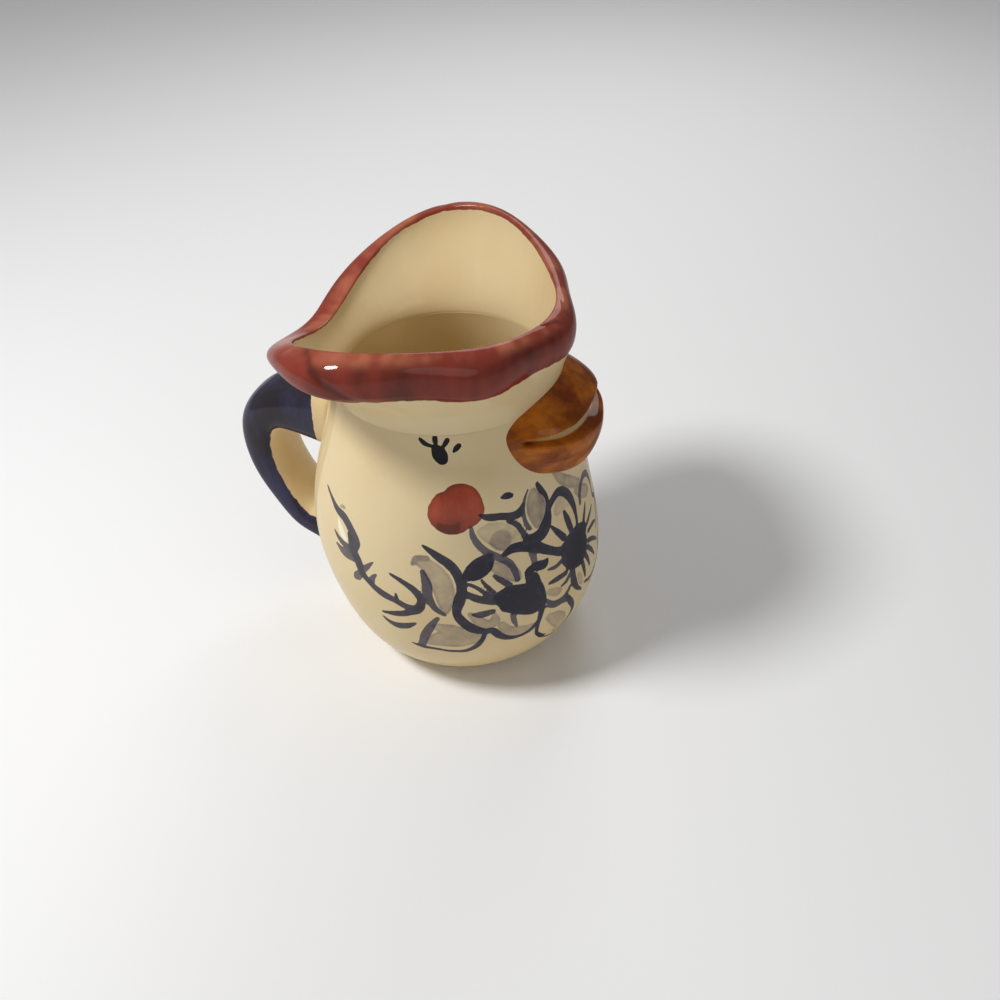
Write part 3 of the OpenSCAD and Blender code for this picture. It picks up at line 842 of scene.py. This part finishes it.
def fold_depth(a, turn):
    """How deep in a fold each point is, from 0 to 1."""
    s = bpy.context.scene.pitcher_comb
    deep = np.zeros(len(a))
    for path in FOLDS:
        share, angle = np.array(path).T
        off = (np.abs(a) - np.interp(turn, share, np.radians(angle))) * s.mouth_radius
        ends = np.minimum(turn - share[0], share[-1] - turn) / FOLD_END_SHARE
        deep = np.maximum(deep, np.exp(-(off / s.fold_width) ** 2)
                          * ease(np.clip(ends, 0, 1)))
    return deep


def brush_marks(a, turn):
    """Marks of the brush round the comb: broad ones, and fine ones over them."""
    def marks(x, y, around, along):
        return noise.noise(Vector((math.cos(x) * around, math.sin(x) * around, y * along)))
    return 0.5 + 0.5 * np.array([marks(x, y, 3, 4) + marks(x, y, 14, 3) * 0.7
                                 for x, y in zip(a, turn)])


class PITCHER_OT_comb(bpy.types.Operator):
    """Models the flared collar and paints its wavy band red"""
    bl_idname = "pitcher.comb"
    bl_label = "Comb collar"

    def ring(self):
        """A ring of unit radius, which the collar is shaped from."""
        bm = bmesh.new()
        upright = Matrix.Translation((1, 0, 0)) @ Matrix.Rotation(math.pi / 2, 4, "X")
        made = bmesh.ops.create_circle(bm, segments=RING_POINTS, radius=RING_RADIUS,
                                       matrix=upright)
        edges = list({e for v in made["verts"] for e in v.link_edges})
        bmesh.ops.spin(bm, geom=made["verts"] + edges, cent=(0, 0, 0), axis=(0, 0, 1),
                       angle=2 * math.pi, steps=bpy.context.scene.pitcher_comb.segments,
                       use_merge=True)
        bmesh.ops.remove_doubles(bm, verts=bm.verts[:], dist=WELD)
        return bm

    def soften(self, mesh, fixed):
        """Rounds the mouth's edge and the crease under the band."""
        bm = bmesh.new()
        bm.from_mesh(mesh)
        free = [v for v, held in zip(bm.verts, fixed)
                if not held and v.co.z > NECK_HEIGHT + SOFT_START]
        for _ in range(SOFT_ROUNDS):
            bmesh.ops.smooth_vert(bm, verts=free, factor=0.5, use_axis_x=True,
                                  use_axis_y=True, use_axis_z=True)
        bm.to_mesh(mesh)
        bm.free()

    def execute(self, context):
        piece = finish_piece("comb_rim", self.ring(), comb_glaze(), "comb_collar")
        mesh = piece.data
        co = points_of(mesh)
        a = np.arctan2(co[:, 1], co[:, 0])
        turn = np.arctan2(co[:, 2], np.hypot(co[:, 0], co[:, 1]) - 1) / (2 * np.pi) % 1
        r, z = collar_section(a, turn)
        fold = fold_depth(a, turn)
        r = r - context.scene.pitcher_comb.fold * fold
        set_points(mesh, np.stack([r * np.cos(a), r * np.sin(a), z], -1))
        self.soften(mesh, turn > 1 - SEAT_SHARE)
        keep_corners(mesh)
        past_corner = turn - UNDER_SHARE
        above = np.where(past_corner < 0, past_corner / UNDER_SHARE * UNDER_RUN,
                         past_corner / FACE_SHARE * FACE_RUN)
        before_edge = (FACE_SHARE - past_corner) / INSIDE_SHARE * INSIDE_RUN
        band = np.minimum(above + RED_BELOW, before_edge + RED_OVER)
        add_values(mesh, "band", np.clip(band, -FAR, FAR))
        # Where along the band's face the painted light lies, strongest near its top
        off_crest = np.abs(past_corner - CREST_MIDDLE_SHARE * FACE_SHARE)
        add_values(mesh, "crest", 1 - off_crest / (CREST_REACH_SHARE * FACE_SHARE))
        # The fold depth also puts painted shade into the comb's glaze
        add_values(mesh, "fold", fold)
        add_values(mesh, "strokes", brush_marks(a, turn))
        return {"FINISHED"}


# Handle

# Middle line of the strap, by shares of its reach and of its drop from root to tail
STRAP_SHARES = [(0.58, 0), (0.76, -0.01), (0.89, 0.02), (0.975, 0.13), (1, 0.315),
                (0.98, 0.525), (0.915, 0.735), (0.825, 0.92), (0.7, 1)]
STRAP_SPANS = len(STRAP_SHARES) - 1
STRAP_RINGS, STRAP_SIDES = 180, 128
FLARE_SPANS = 3  # how many spans of the line each root flares over
STRAP_OVAL = 0.8
STRAP_SUNK = 1.0 * MM  # how far the roots reach into the wall
# Blue starts at this share of the thickness, from -1 at the inner face to 1 at the outer
BLUE_FROM_SHARE = -0.7
BLUE_SPAN = 9  # mm from the strap's middle to either face, roughly
# Cream left bare at the roots, in mm, more of it on the outer side of the upper one
ROOT_BARE, ROOT_SLANT, TAIL_BARE = 6.5, 5, 3


def strap_line(count):
    """Places along the strap as spans passed, and the middle line's x and z there."""
    s = bpy.context.scene.pitcher_handle
    knots = np.array([(-x * s.reach, mix(s.root_height, s.tail_height, z))
                      for x, z in STRAP_SHARES])
    p = np.vstack([knots[0], knots, knots[-1]])
    u = np.linspace(0, STRAP_SPANS, count)
    k = np.minimum(u.astype(int), STRAP_SPANS - 1)
    return u, spline(p[k], p[k + 1], p[k + 2], p[k + 3], (u - k)[:, None])


def strap_thickness(u):
    """Thickness of the strap, which flares at both roots."""
    s = bpy.context.scene.pitcher_handle
    root = np.maximum(0, 1 - u / FLARE_SPANS)
    tail = np.maximum(0, 1 - (STRAP_SPANS - u) / FLARE_SPANS)
    taper = ease(np.maximum(0, u - FLARE_SPANS) / (STRAP_SPANS - FLARE_SPANS))
    return (mix(s.thickness, s.low_thickness, taper) + (s.root - s.thickness) * root ** 2
            + (s.tail - s.low_thickness) * tail ** 3)


class PITCHER_OT_handle(bpy.types.Operator):
    """Pulls the strap handle and paints its back and sides blue"""
    bl_idname = "pitcher.handle"
    bl_label = "Handle"

    def execute(self, context):
        piece = finish_piece("strap_handle", tube(STRAP_RINGS, STRAP_SIDES), handle_glaze(),
                             "handle")
        u, line = strap_line(STRAP_RINGS)
        thick = strap_thickness(u)
        way = np.gradient(line, axis=0)
        way /= np.linalg.norm(way, axis=1)[:, None]
        co = points_of(piece.data)
        k = np.clip(np.rint(co[:, 2]).astype(int), 0, STRAP_RINGS - 1)
        a, spread = np.arctan2(co[:, 1], co[:, 0]), np.hypot(co[:, 0], co[:, 1])
        across, out = full(np.cos(a), STRAP_OVAL) * spread, full(np.sin(a), STRAP_OVAL) * spread
        x = line[k, 0] + way[k, 1] * out * thick[k] / 2
        z = line[k, 1] - way[k, 0] * out * thick[k] / 2
        y = across * context.scene.pitcher_handle.width / 2
        # Both ends stop just under the wall's surface
        wall = wall_face(y, z, -1) + STRAP_SUNK
        x = np.where((k == 0) | (k == STRAP_RINGS - 1), wall, np.minimum(x, wall))
        set_points(piece.data, np.stack([x, y, z], -1))
        # Laid down the line, the section runs the other way round and turns the tube inside out
        piece.data.flip_normals()
        bare = np.where(u[k] < STRAP_SPANS / 2, ROOT_BARE + ROOT_SLANT * out, TAIL_BARE)
        band = np.minimum((out - BLUE_FROM_SHARE) * BLUE_SPAN, (wall - x) / MM - bare)
        add_values(piece.data, "band", np.clip(band, -FAR, FAR))
        return {"FINISHED"}


# Beak

UPPER_SLOPE, LOWER_SLOPE, SIDE_SLOPE = 0.55, 0.02, 0.42
BLUNT, BEAK_OVAL = 3.5, 0.85
BALL_SEGMENTS, BALL_RINGS = 128, 96
BEAK_SUNK = 1.5 * MM  # how far the root reaches into the wall
LIP = 3 * MM  # width of the amber on the slit's faces
SLIT_PAST = 4 * MM  # how far the wedge reaches past the bills' tips
WEDGE_STEPS, SMOOTH_ROUNDS, EDGE_STEPS = 64, 30, 60


def outline_of_beak(t, across, tall, root_gap):
    """Points on the beak's outside: t along it, and across and tall from -1 to 1."""
    s = bpy.context.scene.pitcher_beak
    nose = np.sqrt(np.maximum(0, 1 - t ** BLUNT))
    slope = np.where(tall > 0, UPPER_SLOPE, LOWER_SLOPE)
    y = s.half_width * full(across, BEAK_OVAL) * nose * (1 - SIDE_SLOPE * t)
    z = s.height + (np.where(tall > 0, s.upper, s.lower) * full(tall, BEAK_OVAL)
                    * nose * (1 - slope * t))
    tip = wall_face(0, s.height, 1, s.out) - s.lead / 2 * tall
    return np.stack([mix(wall_face(y, z, 1, root_gap), tip, t), y, z], -1)


class PITCHER_OT_beak(bpy.types.Operator):
    """Models the two bills, joined behind the slit, and colours them amber"""
    bl_idname = "pitcher.beak"
    bl_label = "Beak"

    def bills(self):
        """Both bills as one form, from a ball pulled out along the beak."""
        bm = bmesh.new()
        bmesh.ops.create_uvsphere(bm, u_segments=BALL_SEGMENTS, v_segments=BALL_RINGS,
                                  radius=1, matrix=Matrix.Rotation(math.pi / 2, 4, "Y"))
        co = np.array([v.co for v in bm.verts])
        a = np.arctan2(co[:, 2], co[:, 1])
        # The rear half of the ball closes the form just under the wall's surface
        spread = np.where(co[:, 0] > 0, 1, np.hypot(co[:, 1], co[:, 2]))
        shaped = outline_of_beak(np.clip(co[:, 0], 0, 1), np.cos(a) * spread,
                                 np.sin(a) * spread, -BEAK_SUNK)
        for v, place in zip(bm.verts, shaped):
            v.co = place
        return bm

    def wedge(self):
        """The slit's form: a thin wedge turned round the neck."""
        s, neck_r = bpy.context.scene.pitcher_beak, bpy.context.scene.pitcher_body.neck_radius
        inner, tips = neck_r + s.slit_back, neck_r + s.out + s.lead
        outer = tips + SLIT_PAST
        half = s.slit / 2 * (outer - inner) / (tips - inner)
        bm = bmesh.new()
        verts = [bm.verts.new(place) for place in (
            (inner, 0, 0), (outer, 0, -half), (outer, 0, half))]
        face = bm.faces.new(verts)
        bmesh.ops.rotate(bm, verts=verts, matrix=Matrix.Rotation(-math.pi / 2, 3, "Z"))
        bmesh.ops.spin(bm, geom=[face, *face.edges, *verts], cent=(0, 0, 0), axis=(0, 0, 1),
                       angle=math.pi, steps=WEDGE_STEPS)
        bmesh.ops.recalc_face_normals(bm, faces=bm.faces[:])
        bmesh.ops.translate(bm, verts=bm.verts[:], vec=(float(lean(s.height)), 0, s.height))
        mesh = bpy.data.meshes.new("slit")
        bm.to_mesh(mesh)
        bm.free()
        cutter = bpy.data.objects.new("slit", mesh)
        bpy.context.scene.collection.objects.link(cutter)
        return cutter

    def cut_and_join(self, piece):
        """Cuts the slit and rounds its edges, as one closed skin."""
        cutter = self.wedge()
        cut = piece.modifiers.new("slit", "BOOLEAN")
        cut.object, cut.operation, cut.solver = cutter, "DIFFERENCE", "EXACT"
        remesh = piece.modifiers.new("join", "REMESH")
        remesh.mode, remesh.voxel_size = "VOXEL", bpy.context.scene.pitcher_beak.voxel
        smooth = piece.modifiers.new("soften", "SMOOTH")
        smooth.factor, smooth.iterations = 0.5, SMOOTH_ROUNDS
        whole = bpy.data.meshes.new_from_object(
            piece.evaluated_get(bpy.context.evaluated_depsgraph_get()))
        piece.modifiers.clear()
        bpy.data.objects.remove(cutter)
        piece.data = whole
        whole.name = piece.name
        whole.shade_smooth()
        return whole

    def slit_depth(self, mesh):
        """How far behind the lips each point of the slit's faces is, from 0 to 1."""
        s = bpy.context.scene.pitcher_beak
        co = points_of(mesh)
        normals = np.empty(len(co) * 3)
        mesh.vertices.foreach_get("normal", normals)
        above = co[:, 2] - s.height
        facing = normals.reshape(-1, 3)[:, 2] * np.sign(above) < 0
        line = outline_of_beak(np.linspace(0, 1, EDGE_STEPS), np.ones(EDGE_STEPS),
                               np.zeros(EDGE_STEPS), 0)
        angle = np.arctan2(line[:, 1], line[:, 0])
        order = np.argsort(angle)
        edge = np.interp(np.abs(np.arctan2(co[:, 1], co[:, 0])), angle[order],
                         np.hypot(line[:, 0], line[:, 1])[order])
        behind = edge - LIP - np.hypot(co[:, 0], co[:, 1])
        return np.clip(behind / LIP, 0, 1) * (facing & (np.abs(above) < s.slit / 2))

    def execute(self, context):
        piece = finish_piece("joined_bills", self.bills(), beak_glaze(), "beak")
        whole = self.cut_and_join(piece)
        add_values(whole, "inside", self.slit_depth(whole))
        return {"FINISHED"}


# Stage: the camera stands where the photo was taken from

VIEW_TURN, VIEW_LIFT, VIEW_ROLL = math.radians(25), math.radians(38), math.radians(4.6)
VIEW_DISTANCE = 486.6 * MM
VIEW_CENTRE = Vector((-1.5, 0, 90)) * MM
CENTRE_PIXEL = (451.5, 459.4)
FRAME_PIXELS = 1000
FOCAL_PIXELS = 1083
SENSOR_MM = 36
# Name, place and width in metres, and watts of each lamp, and what they all point at
LAMPS = [("key", (-0.55, -0.38, 1.0), 0.28, 9.5),
         ("fill", (0.8, -0.5, 0.5), 0.6, 0.9),
         ("back", (-0.1, 0.8, 0.7), 0.5, 2)]
LAMP_TARGET = Vector((0, 0, 0.09))
ROOM_LIGHT, SEEN_LIGHT = 0.22, 1.0
FLOOR_RADIUS, FLOOR_SIDES = 4, 96
FLOOR_PALE, FLOOR_ROUGHNESS = 0.92, 0.8


class PITCHER_OT_stage(bpy.types.Operator):
    """Sets the floor, the soft lamps and the camera"""
    bl_idname = "pitcher.stage"
    bl_label = "Stage"

    def camera(self, scene):
        data = bpy.data.cameras.new("camera")
        data.sensor_width = SENSOR_MM
        data.lens = FOCAL_PIXELS / FRAME_PIXELS * SENSOR_MM
        camera = bpy.data.objects.new("camera", data)
        back = Vector((math.sin(VIEW_TURN) * math.cos(VIEW_LIFT),
                       -math.cos(VIEW_TURN) * math.cos(VIEW_LIFT), math.sin(VIEW_LIFT)))
        camera.location = VIEW_CENTRE + back * VIEW_DISTANCE
        level = (-back).to_track_quat("-Z", "Y")
        roll = Quaternion((0, 0, 1), -VIEW_ROLL)
        across, down = ((p - FRAME_PIXELS / 2) / FOCAL_PIXELS for p in CENTRE_PIXEL)
        aim = Vector((0, 0, -1)).rotation_difference(Vector((across, -down, -1)))
        camera.rotation_mode = "QUATERNION"
        camera.rotation_quaternion = level @ roll @ aim.inverted()
        scene.collection.objects.link(camera)
        scene.camera = camera

    def lamp(self, scene, name, place, size, watts):
        data = bpy.data.lights.new(name, "AREA")
        data.shape, data.size, data.energy = "DISK", size, watts
        lamp = bpy.data.objects.new(name, data)
        lamp.location = place
        lamp.rotation_euler = (LAMP_TARGET - Vector(place)).to_track_quat("-Z", "Y").to_euler()
        scene.collection.objects.link(lamp)

    def floor(self, scene):
        bm = bmesh.new()
        bmesh.ops.create_circle(bm, cap_ends=True, segments=FLOOR_SIDES, radius=FLOOR_RADIUS)
        mesh = bpy.data.meshes.new("floor")
        bm.to_mesh(mesh)
        bm.free()
        floor = bpy.data.objects.new("floor", mesh)
        scene.collection.objects.link(floor)
        g = Glaze("plain_floor")
        g.shader.inputs["Base Color"].default_value = (FLOOR_PALE, FLOOR_PALE, FLOOR_PALE, 1)
        g.shader.inputs["Roughness"].default_value = FLOOR_ROUGHNESS
        mesh.materials.append(g.material)

    def world(self, scene):
        scene.world = bpy.data.worlds.new("soft_room")
        scene.world.use_nodes = True
        tree = scene.world.node_tree
        path = tree.nodes.new("ShaderNodeLightPath")
        strength = tree.nodes.new("ShaderNodeMix")
        strength.inputs["A"].default_value = ROOM_LIGHT
        strength.inputs["B"].default_value = SEEN_LIGHT
        tree.links.new(path.outputs["Is Camera Ray"], strength.inputs["Factor"])
        background = tree.nodes["Background"]
        background.inputs["Color"].default_value = (1, 1, 1, 1)
        tree.links.new(strength.outputs["Result"], background.inputs["Strength"])

    def execute(self, context):
        scene = context.scene
        self.floor(scene)
        self.world(scene)
        for lamp in LAMPS:
            self.lamp(scene, *lamp)
        self.camera(scene)
        scene.view_settings.view_transform = "Standard"
        return {"FINISHED"}


# Add-on

OPERATORS = [PITCHER_OT_stage, PITCHER_OT_body, PITCHER_OT_comb, PITCHER_OT_handle,
             PITCHER_OT_beak]


class PITCHER_PT_panel(bpy.types.Panel):
    """Lists the steps that make the pitcher, and its sizes and colours"""
    bl_idname = "PITCHER_PT_panel"
    bl_label = "Chicken Pitcher"
    bl_space_type = "VIEW_3D"
    bl_region_type = "UI"
    bl_category = "Pitcher"

    def draw(self, context):
        for operator in OPERATORS:
            self.layout.operator(operator.bl_idname)
        for name, group in GROUPS.items():
            box = self.layout.box()
            for prop in group.__annotations__:
                box.prop(getattr(context.scene, name), prop)


CLASSES = [*GROUPS.values(), *OPERATORS, PITCHER_PT_panel]


def register():
    for cls in CLASSES:
        bpy.utils.register_class(cls)
    for name, group in GROUPS.items():
        setattr(bpy.types.Scene, name, PointerProperty(type=group))


def unregister():
    for name in GROUPS:
        delattr(bpy.types.Scene, name)
    for cls in reversed(CLASSES):
        bpy.utils.unregister_class(cls)


def main():
    register()
    for operator in OPERATORS:
        group, name = operator.bl_idname.split(".")
        getattr(getattr(bpy.ops, group), name)()


if __name__ == "__main__":
    main()
